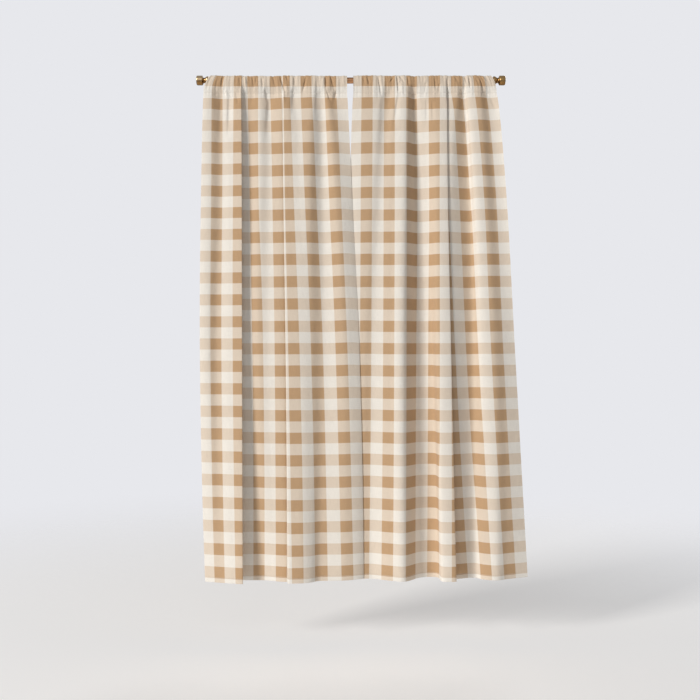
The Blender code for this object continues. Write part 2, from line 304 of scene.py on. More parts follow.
class ClothSettings(bpy.types.PropertyGroup):
    """Sizes and colours of the gingham cloth."""

    check_width: bpy.props.FloatProperty(
        name="Check width", description="Width of a tan and a cream stripe together",
        default=0.0995, min=0.01, unit="LENGTH", subtype="DISTANCE")
    check_height: bpy.props.FloatProperty(
        name="Check height", description="Height of a tan and a cream row together",
        default=0.0934, min=0.01, unit="LENGTH", subtype="DISTANCE")
    stripe_share: bpy.props.FloatProperty(
        name="Stripe share", description="Part of a check's width that is tan",
        default=0.485, min=0.1, max=0.9, subtype="FACTOR")
    row_share: bpy.props.FloatProperty(
        name="Row share", description="Part of a check's height that is tan",
        default=0.5, min=0.1, max=0.9, subtype="FACTOR")
    first_row: bpy.props.FloatProperty(
        name="First row", description="From the stitch line down to the first row of tan",
        default=0.0200, unit="LENGTH", subtype="DISTANCE")
    hem_depth: bpy.props.FloatProperty(
        name="Hem depth", description="Height of the turned hem",
        default=0.020, min=0.005, unit="LENGTH", subtype="DISTANCE")
    side_turn: bpy.props.FloatProperty(
        name="Side turn", description="Width of the cloth turned in along each side edge",
        default=0.009, min=0.002, unit="LENGTH", subtype="DISTANCE")
    thread_pitch: bpy.props.FloatProperty(
        name="Thread pitch", description="Distance between two threads of the weave",
        default=0.0006, min=0.0002, unit="LENGTH", subtype="DISTANCE")
    pucker_height: bpy.props.FloatProperty(
        name="Pucker height", description="Height of the small gathers round the rod",
        default=0.0011, min=0.0, unit="LENGTH", subtype="DISTANCE")
    cream: bpy.props.FloatVectorProperty(
        name="Cream", description="Colour of the plain cloth",
        default=(0.860, 0.812, 0.735), size=3, min=0.0, max=1.0, subtype="COLOR")
    half_tan: bpy.props.FloatVectorProperty(
        name="Half tan", description="Colour where a stripe or a row runs alone",
        default=(0.752, 0.635, 0.510), size=3, min=0.0, max=1.0, subtype="COLOR")
    tan: bpy.props.FloatVectorProperty(
        name="Tan", description="Colour where a stripe and a row cross",
        default=(0.540, 0.347, 0.194), size=3, min=0.0, max=1.0, subtype="COLOR")


class BrassSettings(bpy.types.PropertyGroup):
    """Sizes and colours of the rod and its finials."""

    left_finial: bpy.props.FloatVectorProperty(
        name="Left finial", description="Colour of the rubbed brass of the left finial",
        default=(0.95, 0.70, 0.42), size=3, min=0.0, max=1.0, subtype="COLOR")
    # The right finial's colour is the same brass as the left's, taken darker and browner as painted
    # shade.
    right_finial_shaded: bpy.props.FloatVectorProperty(
        name="Right finial", description="Colour of the browner brass of the right finial",
        default=(0.74, 0.47, 0.20), size=3, min=0.0, max=1.0, subtype="COLOR")
    # The rod's colour is the finials' brass taken darker and browner, as painted shade.
    rod: bpy.props.FloatVectorProperty(
        name="Rod", description="Colour of the rod's brown brass",
        default=(0.68, 0.36, 0.19), size=3, min=0.0, max=1.0, subtype="COLOR")
    # This darkened brass colour serves for tarnish in patches and specks and for painted shade on the
    # finials' lower side and in their necks.
    tarnish_and_shade: bpy.props.FloatVectorProperty(
        name="Dull brass", description="Colour of the brass where it has darkened",
        default=(0.34, 0.18, 0.06), size=3, min=0.0, max=1.0, subtype="COLOR")
    finial_roughness: bpy.props.FloatProperty(
        name="Finial roughness", description="How matt the finials are",
        default=0.24, min=0.0, max=1.0, subtype="FACTOR")
    rod_roughness: bpy.props.FloatProperty(
        name="Rod roughness", description="How matt the rod is",
        default=0.34, min=0.0, max=1.0, subtype="FACTOR")
    turning_pitch: bpy.props.FloatProperty(
        name="Turning pitch", description="Distance between the fine marks of the lathe",
        default=0.0006, min=0.0001, unit="LENGTH", subtype="DISTANCE")


class StudioSettings(bpy.types.PropertyGroup):
    """Camera, lights and floor."""

    camera_distance: bpy.props.FloatProperty(
        name="Camera distance", description="From the camera to the rod's plane",
        default=3.8, min=0.5, unit="LENGTH", subtype="DISTANCE")
    camera_across: bpy.props.FloatProperty(
        name="Camera across", description="Camera's place to the right of the rod's middle",
        default=-0.0038, unit="LENGTH", subtype="DISTANCE")
    camera_drop: bpy.props.FloatProperty(
        name="Camera drop", description="How far the camera is below the rod",
        default=1.131, unit="LENGTH", subtype="DISTANCE")
    frame_width: bpy.props.FloatProperty(
        name="Frame width", description="Width of the picture at the rod's plane",
        default=2.938, min=0.5, unit="LENGTH", subtype="DISTANCE")
    floor_drop: bpy.props.FloatProperty(
        name="Floor drop", description="How far the floor is below the rod",
        default=2.38, min=0.5, unit="LENGTH", subtype="DISTANCE")
    backdrop: bpy.props.FloatVectorProperty(
        name="Backdrop", description="Colour of the studio's far background",
        default=(0.800, 0.806, 0.840), size=3, min=0.0, max=1.0, subtype="COLOR")
    floor: bpy.props.FloatVectorProperty(
        name="Floor", description="Colour of the plain floor",
        default=(0.780, 0.770, 0.760), size=3, min=0.0, max=1.0, subtype="COLOR")
    key_power: bpy.props.FloatProperty(
        name="Key power", description="Power of the light at the upper left",
        default=1850.0, min=0.0, unit="POWER")
    front_power: bpy.props.FloatProperty(
        name="Front power", description="Power of the wide soft light above the camera",
        default=12.0, min=0.0, unit="POWER")
    back_power: bpy.props.FloatProperty(
        name="Back power", description="Power of the soft light behind",
        default=130.0, min=0.0, unit="POWER")
    sky_strength: bpy.props.FloatProperty(
        name="Room light", description="Strength of the even light from all round",
        default=0.29, min=0.0)


class Signal:
    """A socket that carries a number. Sums on it add Math nodes to its finish."""

    def __init__(self, finish, socket):
        self.finish = finish
        self.socket = socket

    def math(self, operation, *others):
        """The outcome of one Math node."""
        values = dict(enumerate([self, *others]))
        node = self.finish.node("ShaderNodeMath", {"operation": operation}, values)
        return Signal(self.finish, node.outputs[0])

    def __add__(self, other):
        return self.math("ADD", other)

    def __sub__(self, other):
        return self.math("SUBTRACT", other)

    def __mul__(self, other):
        return self.math("MULTIPLY", other)

    def __rsub__(self, other):
        return self.math("MULTIPLY_ADD", -1.0, other)

    __radd__ = __add__
    __rmul__ = __mul__

    def sine(self):
        return self.math("SINE")

    def absolute(self):
        return self.math("ABSOLUTE")

    def fraction(self):
        return self.math("FRACT")

    def largest(self, other):
        return self.math("MAXIMUM", other)

    def step(self, low, high, start=0.0, end=1.0):
        """Rises smoothly from start to end while the signal goes from low to high."""
        node = self.finish.node(
            "ShaderNodeMapRange", {"interpolation_type": "SMOOTHSTEP"},
            {0: self, 1: low, 2: high, 3: start, 4: end})
        return Signal(self.finish, node.outputs[0])

    def line(self, edges):
        """1 near zero, fading to 0 between the two edges on either side."""
        return self.absolute().step(*edges, 1.0, 0.0)


class Finish:
    """A material and the nodes that make it."""

    def __init__(self, name):
        self.material = bpy.data.materials.new(name)
        self.material.use_nodes = True
        self.tree = self.material.node_tree
        self.shader = self.tree.nodes["Principled BSDF"]
        self.output = self.tree.nodes["Material Output"]

    def plug(self, value, socket):
        """Links a signal or a socket, or sets a plain value."""
        if isinstance(value, Signal):
            value = value.socket
        if isinstance(value, bpy.types.NodeSocket):
            self.tree.links.new(value, socket)
        elif hasattr(value, "__len__") and len(value) == 3 and socket.type == "RGBA":
            socket.default_value = (*value, 1.0)
        else:
            socket.default_value = value

    def node(self, kind, settings, sockets):
        """Any node: its settings first, then the values or links of its sockets."""
        node = self.tree.nodes.new(kind)
        for name, value in settings.items():
            setattr(node, name, value)
        for name, value in sockets.items():
            self.plug(value, node.inputs[name])
        return node

    def mix(self, factor, first, second, blend="MIX"):
        """Mixes two colours."""
        node = self.node(
            "ShaderNodeMix", {"data_type": "RGBA", "blend_type": blend, "clamp_factor": True},
            {0: factor, 6: first, 7: second})
        return node.outputs[2]

    def place(self, layer):
        """Across and up numbers of one of the cloth's own maps."""
        source = self.node("ShaderNodeUVMap", {"uv_map": layer}, {})
        split = self.node("ShaderNodeSeparateXYZ", {}, {0: source.outputs[0]})
        return Signal(self, split.outputs[0]), Signal(self, split.outputs[1])

    def object_place(self):
        """X, Y and Z in the object's own space, and the vector they come from."""
        vector = self.node("ShaderNodeTexCoord", {}, {}).outputs["Object"]
        split = self.node("ShaderNodeSeparateXYZ", {}, {0: vector})
        return [Signal(self, out) for out in split.outputs], vector

    def vector(self, across, up, out=0.0):
        """A place made of three numbers."""
        return self.node("ShaderNodeCombineXYZ", {}, {0: across, 1: up, 2: out}).outputs[0]

    def noise(self, place, scale, detail=2.0, roughness=0.5):
        """Soft noise from 0 to 1."""
        node = self.node(
            "ShaderNodeTexNoise", {},
            {"Vector": place, "Scale": scale, "Detail": detail, "Roughness": roughness})
        return Signal(self, node.outputs[0])

    def bump(self, height, distance, strength, under=None):
        """Raises the surface by a height, over another bump where one is given."""
        sockets = {"Height": height, "Distance": distance, "Strength": strength}
        if under is not None:
            sockets["Normal"] = under
        return self.node("ShaderNodeBump", {}, sockets).outputs[0]

    def set(self, **sockets):
        """Fills the shader's sockets; an underscore stands for a space."""
        for name, value in sockets.items():
            self.plug(value, self.shader.inputs[name.replace("_", " ")])


class Curve:
    """A smooth curve through values given at rising knots."""

    def __init__(self, knots, values):
        self.knots = knots
        self.values = values
        self.spans = [b - a for a, b in zip(knots, knots[1:])]
        rises = [(b - a) / span for a, b, span in zip(values, values[1:], self.spans)]
        inner = [(r0 * s1 + r1 * s0) / (s0 + s1)
                 for r0, r1, s0, s1 in zip(rises, rises[1:], self.spans, self.spans[1:])]
        self.slopes = [2 * rises[0] - inner[0]] + inner + [2 * rises[-1] - inner[-1]]

    def between(self, k, share):
        """The value at a share of the way from knot k to the next."""
        t, s, span = share, 1 - share, self.spans[k]
        return ((1 + 2 * t) * s * s * self.values[k] + t * s * s * span * self.slopes[k]
                + t * t * (3 - 2 * t) * self.values[k + 1] - t * t * s * span * self.slopes[k + 1])

    def at(self, place):
        """The value at a place along the knots."""
        k = 0
        while k < len(self.spans) - 1 and place > self.knots[k + 1]:
            k += 1
        return self.between(k, (place - self.knots[k]) / self.spans[k])


def opening_share(depth):
    """How far the folds have opened, from 0 at the stitch line to 1 at the hem."""
    return (depth / DROP_BELOW_STITCH) ** FOLD_OPENING


def smooth_share(value):
    """Eases a share from 0 to 1."""
    value = min(1.0, max(0.0, value))
    return value * value * (3 - 2 * value)


def crease_offset(creases, across, up):
    """How far the creases raise the cloth at a place, in metres."""
    raised = 0.0
    fade_in, fade_out = CREASE_FADES
    for crease in creases:
        share = (crease.top[1] / 1000 - up) / ((crease.top[1] - crease.bottom[1]) / 1000)
        if 0 < share < 1:
            line = (crease.top[0] + (crease.bottom[0] - crease.top[0]) * share) / 1000
            width = (crease.widths[0] + (crease.widths[1] - crease.widths[0]) * share) / 1000
            aside = (across - line) / width
            if aside > 0:
                aside /= CREASE_LEAN
            if abs(aside) < CREASE_REACH:
                fade = smooth_share(share / fade_in) * smooth_share((1 - share) / fade_out)
                raised += crease.height / 1000 * fade * exp(-aside * aside)
    return raised


class ClothMaker:
    """Works out where each point of one gathered panel hangs."""

    def __init__(self, form, cloth):
        self.form = form
        self.cloth = cloth
        self.knots = [opening_share(level) for level in LEVELS]
        self.across = [Curve(self.knots, [x / 1000 for x in fold.across]) for fold in form.folds]
        self.forward = [Curve(self.knots, [y / 1000 for y in fold.forward]) for fold in form.folds]
        self.checks = [Curve(self.knots, fold.checks) for fold in form.folds]
        self.raises = Curve(self.knots, [z / 1000 for z in form.raise_mm])
        self.columns = self.spread_columns()
        self.starts = [j for j, (k, share) in enumerate(self.columns) if share in (0.0, 1.0)]
        self.stitch = self.section(0.0)
        self.front_radii = self.loop_radii(POCKET_FOLD_SHARE, POCKET_FRONT_LOFT)
        self.top_radii = self.loop_radii(POCKET_TOP_SHARE, POCKET_TOP_LOFT)

    def spread_columns(self):
        """Columns of the mesh, each as the fold before it and its share of the way to the next."""
        columns = []
        folds = self.form.folds
        for k, (fold, following) in enumerate(zip(folds, folds[1:])):
            reach = max(sqrt((x1 - x0) ** 2 + (y1 - y0) ** 2) for x0, x1, y0, y1 in zip(
                fold.across, following.across, fold.forward, following.forward)) / 1000
            count = max(LEAST_COLUMNS, round(reach / COLUMN_PITCH))
            columns += [(k, step / count) for step in range(count)]
        return columns + [(len(folds) - 2, 1.0)]

    def section(self, depth):
        """Across, forward and checks of each column, at a depth below the stitch line."""
        at = opening_share(depth)
        across = [curve.at(at) for curve in self.across]
        forward = [curve.at(at) for curve in self.forward]
        checks = [curve.at(at) for curve in self.checks]
        along = [0.0]
        for k in range(len(across) - 1):
            reach = sqrt((across[k + 1] - across[k]) ** 2 + (forward[k + 1] - forward[k]) ** 2)
            along.append(along[-1] + sqrt(reach))
        curves = [Curve(along, values) for values in (across, forward)]
        points = [tuple(curve.between(k, share) for curve in curves) for k, share in self.columns]
        lengths = [0.0]
        for (x0, y0), (x1, y1) in zip(points, points[1:]):
            lengths.append(lengths[-1] + sqrt((x1 - x0) ** 2 + (y1 - y0) ** 2))
        made = []
        for (k, share), (x, y), length in zip(self.columns, points, lengths):
            start, end = lengths[self.starts[k]], lengths[self.starts[k + 1]]
            counted = checks[k] + (checks[k + 1] - checks[k]) * (length - start) / (end - start)
            made.append((x, y, counted))
        return made

    def loop_radii(self, share, loft):
        """Radius of each column's loop over the rod, with a share of its fold's height."""
        lowest = min(forward for across, forward, checks in self.stitch)
        touching = (ROD_RADIUS + CLOTH_CLEARANCE) / cos(pi / POCKET_ARC_STEPS / 2)
        return [touching + loft + share * (forward - lowest)
                for across, forward, checks in self.stitch]

    def puckers(self, across, turn):
        """Small slanting gathers; turn is 0 at the stitch line and 1 at the top of the rod."""
        waves = (wave.size * sin(2 * pi * across / wave.length + wave.slant * turn + wave.start)
                 for wave in PUCKER_WAVES)
        return self.cloth.pucker_height * sum(waves)

    def drop_rows(self):
        """Rows of points from the hem's turned edge, round the bottom and up to the stitch line."""
        bottom = DROP_BELOW_STITCH
        hem = self.cloth.hem_depth
        rows = [(bottom - hem * (1 - row / HEM_ROWS), 1.0, bottom + hem * (1 - row / HEM_ROWS))
                for row in range(HEM_ROWS)]
        rows.append((bottom, 0.5, bottom))
        depths = [bottom * (row / DROP_ROWS) ** DROP_ROW_CROWDING for row in range(DROP_ROWS)]
        line = bottom - hem
        hem_depths = [line - HEM_LINE_ROW, line, line + HEM_LINE_ROW, bottom - hem * HEM_FACE_ROW]
        hem_depths += [bottom - above for above in HEM_FOLD_ROWS]
        depths = [depth for depth in depths if depth < hem_depths[0] - LEAST_ROW_SPACING] + hem_depths
        rows += [(depth, 0.0, depth) for depth in reversed(depths)]
        return rows

    def drop_points(self):
        """Place and map numbers of each column, row by row up to the stitch line."""
        made = []
        hem_line = DROP_BELOW_STITCH - self.cloth.hem_depth
        for depth, behind, length in self.drop_rows():
            gathered = exp(-((depth / PUCKERS_BELOW_STITCH) ** 2))
            stand = STITCH_STAND * exp(-((depth / STITCH_STAND_REACH) ** 2))
            sunk = HEM_DIMPLE * exp(-(((depth - hem_line) / HEM_DIMPLE_REACH) ** 2))
            sunk += SEAM_SINK * exp(-((depth / SEAM_REACH) ** 2))
            raised = self.raises.at(opening_share(depth))
            row = []
            for j, (across, forward, checks) in enumerate(self.section(depth)):
                start = self.stitch[j][0]
                down = STITCH_BELOW_AXIS + sqrt(max(depth ** 2 - (across - start) ** 2, 0.0))
                out = forward + stand + crease_offset(self.form.creases, across, -down)
                out += self.puckers(across, PUCKER_TURN_BELOW) * gathered
                out -= sunk + behind * TURN_BEHIND
                lift = raised if self.columns[j][0] < self.form.raised_to else 0.0
                row.append((Vector((across, -out, -down)), checks, length, lift))
            made.append(row)
        return made

    def pocket_points(self):
        """Place and map numbers of each column, from the stitches over the rod and down behind."""
        paths = [self.pocket_path(column) for column in range(len(self.columns))]
        knots = [0.0]
        middle = paths[len(paths) // 2]
        for (out0, up0), (out1, up1) in zip(middle, middle[1:]):
            knots.append(knots[-1] + sqrt((out1 - out0) ** 2 + (up1 - up0) ** 2))
        outs = [Curve(knots, [out for out, up in path]) for path in paths]
        ups = [Curve(knots, [up for out, up in path]) for path in paths]
        count = round(knots[-1] / POCKET_ROW_PITCH)
        arc_start = 1 + len(POCKET_LEG_HEIGHTS)
        top_of_arc = knots[arc_start + POCKET_ARC_STEPS // 2]
        edge = self.stitch[0][0] if self.form.outer_side < 0 else self.stitch[-1][0]
        made = []
        for step in range(1, count + 1):
            place = knots[-1] * step / count
            turn = place / top_of_arc
            swell = smooth_share(place / PUCKER_SWELL_REACH)
            swell *= smooth_share((knots[-1] - place) / PUCKER_SWELL_REACH)
            row = []
            for j, (across, forward, checks) in enumerate(self.stitch):
                out, up = outs[j].at(place), ups[j].at(place)
                lean = sqrt(out * out + up * up)
                normal = (1.0 if place < top_of_arc else -1.0, 0.0)
                if up > 0:
                    normal = (out / lean, up / lean)
                raised = self.puckers(across, turn) * swell
                if place < top_of_arc + CREASE_PAST_TOP:
                    drawn = up if up < 0 else min(place - knots[arc_start], CREASE_HIGHEST)
                    raised += crease_offset(self.form.creases, across, drawn)
                rise = (up + STITCH_BELOW_AXIS) / (STITCH_BELOW_AXIS + ROD_RADIUS)
                near = max(0.0, 1 - abs(edge - across) / CORNER_REACH)
                pulled = across - self.form.outer_side * self.form.corner * near ** 2 * rise ** 2
                out, up = self.clear_of_rod(out + raised * normal[0], up + raised * normal[1])
                taken = self.form.taken_checks * self.taken_share(j)
                checks += taken * smooth_share(place / TAKEN_IN_REACH)
                row.append((Vector((pulled, -out, up)), checks, -place, 0.0))
            made.append(row)
        return made

    def pocket_path(self, column):
        """Out and up numbers of the knots of one column's way round the rod."""
        front, top = self.front_radii[column], self.top_radii[column]
        sewn = self.stitch[column][1] + STITCH_STAND
        legs = list(zip(POCKET_LEG_HEIGHTS, POCKET_LEG_SPREAD))
        points = [(sewn, -STITCH_BELOW_AXIS)]
        points += [(front * spread + sewn * (1 - spread), height) for height, spread in legs]
        for step in range(POCKET_ARC_STEPS + 1):
            turn = pi * step / POCKET_ARC_STEPS
            radius = front + (top - front) * smooth_share(2 * step / POCKET_ARC_STEPS)
            points.append((radius * cos(turn), radius * sin(turn)))
        points += [(sewn * (1 - spread) - top * spread, height) for height, spread in reversed(legs)]
        points.append((sewn - 2 * TURN_BEHIND, -STITCH_BELOW_AXIS - POCKET_TAIL))
        return points

    def taken_share(self, column):
        """1 on the fold that hides more cloth in the pocket, falling to 0 at the folds beside it."""
        k, share = self.columns[column]
        return max(0.0, 1 - abs(k + share - self.form.taken_in))

    def clear_of_rod(self, out, up):
        """Moves a point that a crease has sunk into the rod back to just off it."""
        least = ROD_RADIUS + LEAST_CLEARANCE
        lean = sqrt(out * out + up * up)
        if lean < least:
            return out * least / lean, up * least / lean
        return out, up

    def turned_in(self, row):
        """Adds the cloth turned in behind each side edge to one row of points."""
        step = max(1, round(self.cloth.side_turn / COLUMN_PITCH / TURN_COLUMNS))
        behind = Vector((0.0, TURN_BEHIND, 0.0))
        left, right = [], []
        for column in range(step, step * TURN_COLUMNS + 1, step):
            for side, edge, inner in (
                    (left, row[0], row[column]), (right, row[-1], row[-1 - column])):
                side.append((inner[0] + behind, 2 * edge[1] - inner[1], inner[2], inner[3]))
        return left[::-1] + row + right

    def rows(self):
        """All the rows of the sheet, from the hem's turned edge to the pocket's."""
        return [self.turned_in(row) for row in self.drop_points() + self.pocket_points()]


def make_sheet(form, cloth):
    """One panel's cloth as a single thin sheet, with its checks and its lengths as maps."""
    rows = ClothMaker(form, cloth).rows()
    last_row = len(rows) - 1
    last_column = len(rows[0]) - 1
    bm = bmesh.new()
    bmesh.ops.create_grid(bm, x_segments=last_column, y_segments=last_row, size=1.0)
    where = {}
    for vert in bm.verts:
        place = (round((vert.co.y + 1) / 2 * last_row), round((vert.co.x + 1) / 2 * last_column))
        where[vert.index] = place
        vert.co = rows[place[0]][place[1]][0]
    checks_map = bm.loops.layers.uv.new("checks")
    length_map = bm.loops.layers.uv.new("lengths")
    for face in bm.faces:
        face.smooth = True
        for loop in face.loops:
            row, column = where[loop.vert.index]
            point, checks, length, lift = rows[row][column]
            loop[checks_map].uv = (checks, (cloth.first_row - length - lift) / cloth.check_height)
            loop[length_map].uv = (checks * cloth.check_width, -length)
    turned = {TURN_COLUMNS, last_column - TURN_COLUMNS}
    for edge in bm.edges:
        ends = [where[vert.index] for vert in edge.verts]
        columns = {column for row, column in ends}
        on_side_fold = len(columns) == 1 and columns <= turned
        on_hem_fold = all(row == HEM_ROWS for row, column in ends)
        edge.smooth = not (on_side_fold or on_hem_fold)
    if sum(face.normal.y for face in bm.faces) > 0:
        bmesh.ops.reverse_faces(bm, faces=bm.faces)
    return finished_object(form.node + "_cloth", bm)


def finished_object(name, bm):
    """Turns a bmesh into an object at the origin."""
    mesh = bpy.data.meshes.new(name)
    bm.to_mesh(mesh)
    bm.free()
    obj = bpy.data.objects.new(name, mesh)
    bpy.context.scene.collection.objects.link(obj)
    return obj


def gingham_finish(name, cloth):
    """Woven gingham: cream, half tan where one stripe runs, and tan where two cross."""
    finish = Finish(name)
    across, up = finish.place("checks")
    wide, tall = finish.place("lengths")
    stripe_half = cloth.stripe_share / 2
    row_half = cloth.row_share / 2
    stripe_away = (across - stripe_half + 0.5).fraction() - 0.5
    row_away = (up - (1 - row_half) + 0.5).fraction() - 0.5
    stripe = stripe_away.line((stripe_half - STRIPE_SOFTNESS, stripe_half + STRIPE_SOFTNESS))
    row = row_away.line((row_half - STRIPE_SOFTNESS, row_half + STRIPE_SOFTNESS))
    either = stripe.largest(row)
    colour = finish.mix(either, tuple(cloth.cream), tuple(cloth.half_tan))
    colour = finish.mix(stripe * row, colour, tuple(cloth.tan))

    warp_slubs = finish.noise(finish.vector(wide * SLUB_THIN, tall * SLUB_LONG), 1.0, 1.0)
    weft_slubs = finish.noise(finish.vector(wide * SLUB_LONG, tall * SLUB_THIN), 1.0, 1.0)
    cloudy = finish.noise(finish.vector(wide, tall), CLOUD_SCALE, 3.0)
    tone = (warp_slubs + weft_slubs - 1.0) * SLUB_TONE + (cloudy - 0.5) * CLOUD_TONE + 1.0
    colour = finish.mix(1.0, colour, finish.vector(tone, tone, tone), "MULTIPLY")

    from_hem = tall + (DROP_BELOW_STITCH - cloth.hem_depth)
    stitch_run = (wide * (1 / STITCH_PITCH)).fraction().step(*STITCH_ENDS, 1.0, 0.0)
    pocket_stitches = tall.line(STITCH_EDGES) * POCKET_STITCH_SHARE
    stitches = from_hem.line(STITCH_EDGES).largest(pocket_stitches) * stitch_run
    groove = from_hem.line(GROOVE_EDGES).largest(tall.line(GROOVE_EDGES))
    thread = finish.mix(THREAD_TAN_SHARE, tuple(cloth.cream), tuple(cloth.tan))
    # Painted shade darkens the colour along the seam grooves.
    colour = finish.mix(groove * GROOVE_SHADE_TONE, colour, GROOVE_SHADE_COLOUR)
    colour = finish.mix(stitches * STITCH_TONE, colour, thread)

    turns = pi / cloth.thread_pitch
    weave = (wide * turns).sine() * (tall * turns).sine()
    crumple = finish.noise(finish.vector(wide, tall * CRUMPLE_STRETCH), CRUMPLE_SCALE, 3.0, 0.55)
    normal = finish.bump(crumple, *CRUMPLE_RELIEF)
    normal = finish.bump(warp_slubs + weft_slubs, *SLUB_RELIEF, normal)
    normal = finish.bump(weave, *WEAVE_RELIEF, normal)
    normal = finish.bump(stitches - groove * GROOVE_DEPTH, *STITCH_RELIEF, normal)
    finish.set(
        Base_Color=colour, Roughness=CLOTH_ROUGHNESS + cloudy * CLOTH_ROUGHNESS_SPREAD,
        Normal=normal, Sheen_Weight=0.10, Sheen_Roughness=0.5, Specular_IOR_Level=0.25)
    return finish.material


def brass_finish(name, brass, bright, roughness, turned):
    """Rubbed brass, darker in tarnished patches; a turned finial also gets painted shade on its lower
    side and in its neck.
    """
    finish = Finish(name)
    (x, y, z), place = finish.object_place()
    patches = finish.noise(place, PATCH_SCALE, 4.0, 0.6).step(*PATCH_EDGES)
    specks = finish.noise(place, SPECK_SCALE, 2.0)
    tarnish_and_shade_share = patches * PATCH_TONE
    if turned:
        along, around = 1 / brass.turning_pitch, TURNED_MARKS
        # Painted shade: the finial is darkened on its lower side and where its radius is small, as in
        # its neck.
        underside_shade = z.step(*UNDERSIDE_SHADE_EDGES, 1.0, 0.0)
        neck = (y * y + z * z).math("SQRT").step(*NECK_SHADE_EDGES, 1.0, 0.0)
        tarnish_and_shade_share = tarnish_and_shade_share + underside_shade * UNDERSIDE_SHADE_TONE + neck * NECK_SHADE_TONE
    else:
        along, around = DRAWN_MARKS
    marks = finish.noise(finish.vector(x * along, y * around, z * around), 1.0, 2.0)
    # Tarnish, and on the finials painted shade, pull the brass towards the darkened colour.
    colour = finish.mix(tarnish_and_shade_share.step(0.0, 1.0), bright, tuple(brass.tarnish_and_shade))
    colour = finish.mix(specks.step(*SPECK_EDGES) * SPECK_TONE, colour, tuple(brass.tarnish_and_shade))
    normal = finish.bump(marks, *MARK_RELIEF)
    normal = finish.bump(specks, *SPECK_RELIEF, normal)
    finish.set(
        Base_Color=colour, Metallic=1.0, Normal=normal,
        Roughness=roughness + (patches + marks) * BRASS_ROUGHNESS_SPREAD)
    return finish.material


# The finial's outline: distance from the rod's end and radius, in millimetres
FinialRing = namedtuple("FinialRing", "name place radius")

FINIAL_RINGS = (
    FinialRing("collar face", 0.0, 0.0),
    FinialRing("collar face edge", 0.0, 16.0),
    FinialRing("collar back bevel", 0.3, 16.7),
    FinialRing("collar back edge", 1.0, 17.0),
    FinialRing("collar middle", 3.6, 17.0),
    FinialRing("collar front edge", 6.4, 17.0),
    FinialRing("collar shoulder", 7.4, 16.5),
    FinialRing("cone start", 8.6, 15.6),
    FinialRing("cone", 13.0, 12.7),
    FinialRing("neck start", 16.2, 10.9),
    FinialRing("neck", 18.6, 10.4),
    FinialRing("neck end", 20.6, 10.8),
    FinialRing("barrel foot", 22.2, 12.6),
    FinialRing("barrel back", 24.2, 16.4),
    FinialRing("barrel back bevel", 25.2, 18.6),
    FinialRing("barrel back edge", 26.6, 19.6),
    FinialRing("barrel body start", 29.0, 19.8),
    FinialRing("barrel body", 37.0, 19.8),
    FinialRing("barrel body end", 46.2, 19.8),
    FinialRing("barrel front edge", 47.6, 19.5),
    FinialRing("barrel front bevel", 49.2, 18.0),
    FinialRing("barrel rim", 49.8, 16.9),
    FinialRing("barrel end", 50.0, 15.6),
    FinialRing("barrel centre", 50.0, 0.0),
)
FINIAL_SIDES = 72
FINIAL_MERGE = 0.00001
FINIAL_SHARP_ANGLE = radians(40)


def turn_finial(node, side):
    """A lathe-turned finial on one end of the rod; side is -1 on the left and 1 on the right."""
    start = side * (ROD_HALF_LENGTH + LEAST_CLEARANCE)
    bm = bmesh.new()
    verts = [bm.verts.new((start + side * ring.place / 1000, 0.0, ring.radius / 1000))
             for ring in FINIAL_RINGS]
    edges = [bm.edges.new(pair) for pair in zip(verts, verts[1:])]
    bmesh.ops.spin(
        bm, geom=verts + edges, cent=(0, 0, 0), axis=(1, 0, 0),
        angle=2 * pi, steps=FINIAL_SIDES, use_merge=True)
    bmesh.ops.remove_doubles(bm, verts=bm.verts, dist=FINIAL_MERGE)
    bmesh.ops.recalc_face_normals(bm, faces=bm.faces)
    for face in bm.faces:
        face.smooth = True
    finial = finished_object(node + "_turned", bm)
    finial.data.set_sharp_from_angle(angle=FINIAL_SHARP_ANGLE)
    return finial


class CURTAIN_OT_hang_panels(bpy.types.Operator):
    """Hang the two gingham panels from the rod"""

    bl_idname = "curtain.hang_panels"
    bl_label = "Hang panels"

    def execute(self, context):
        cloth = context.scene.curtain_cloth
        for form, slot in ((LEFT_FORM, "gingham_left"), (RIGHT_FORM, "gingham_right")):
            sheet = make_sheet(form, cloth)
            sheet.data.materials.append(gingham_finish(form.node + " gingham", cloth))
            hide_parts(form.node)
            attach(sheet, "root")
            counts = form.folds[0].checks[0], form.folds[-1].checks[0]
            width = (counts[1] - counts[0]) * cloth.check_width + 2 * cloth.side_turn
        return {"FINISHED"}


class CURTAIN_OT_turn_finials(bpy.types.Operator):
    """Turn the two barrel finials and finish them in brass"""

    bl_idname = "curtain.turn_finials"
    bl_label = "Turn finials"

    def execute(self, context):
        brass = context.scene.curtain_brass
        # The right finial gets the darker colour, as painted shade.
        for node, side, slot, bright in (
                ("finial_left", -1, "finial_brass_left", brass.left_finial),
                ("finial_right", 1, "finial_brass_right", brass.right_finial_shaded)):
            finial = turn_finial(node, side)
            finish = brass_finish(
                node + " brass", brass, tuple(bright), brass.finial_roughness, turned=True)
            finial.data.materials.append(finish)
            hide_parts(node)
            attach(finial, "root")
        return {"FINISHED"}


class CURTAIN_OT_finish_rod(bpy.types.Operator):
    """Give the rod its rubbed brass finish"""

    bl_idname = "curtain.finish_rod"
    bl_label = "Finish rod"

    def execute(self, context):
        brass = context.scene.curtain_brass
        rod = bpy.data.objects["rod"]
        finish = brass_finish(
            "rod brass", brass, tuple(brass.rod), brass.rod_roughness, turned=False)
        for slot in rod.material_slots:
            slot.material = finish
        return {"FINISHED"}


def aim(obj, target):
    """Turns a light towards a place."""
    obj.rotation_euler = (Vector(target) - obj.location).to_track_quat("-Z", "Y").to_euler()


def add_light(lamp, power, target):
    """A soft oblong light."""
    light = bpy.data.lights.new(lamp.name, "AREA")
    light.shape = "RECTANGLE"
    light.size, light.size_y = lamp.size
    light.energy = power
    light.color = lamp.colour
    obj = bpy.data.objects.new(lamp.name, light)
    bpy.context.scene.collection.objects.link(obj)
    obj.location = lamp.place
    aim(obj, target)


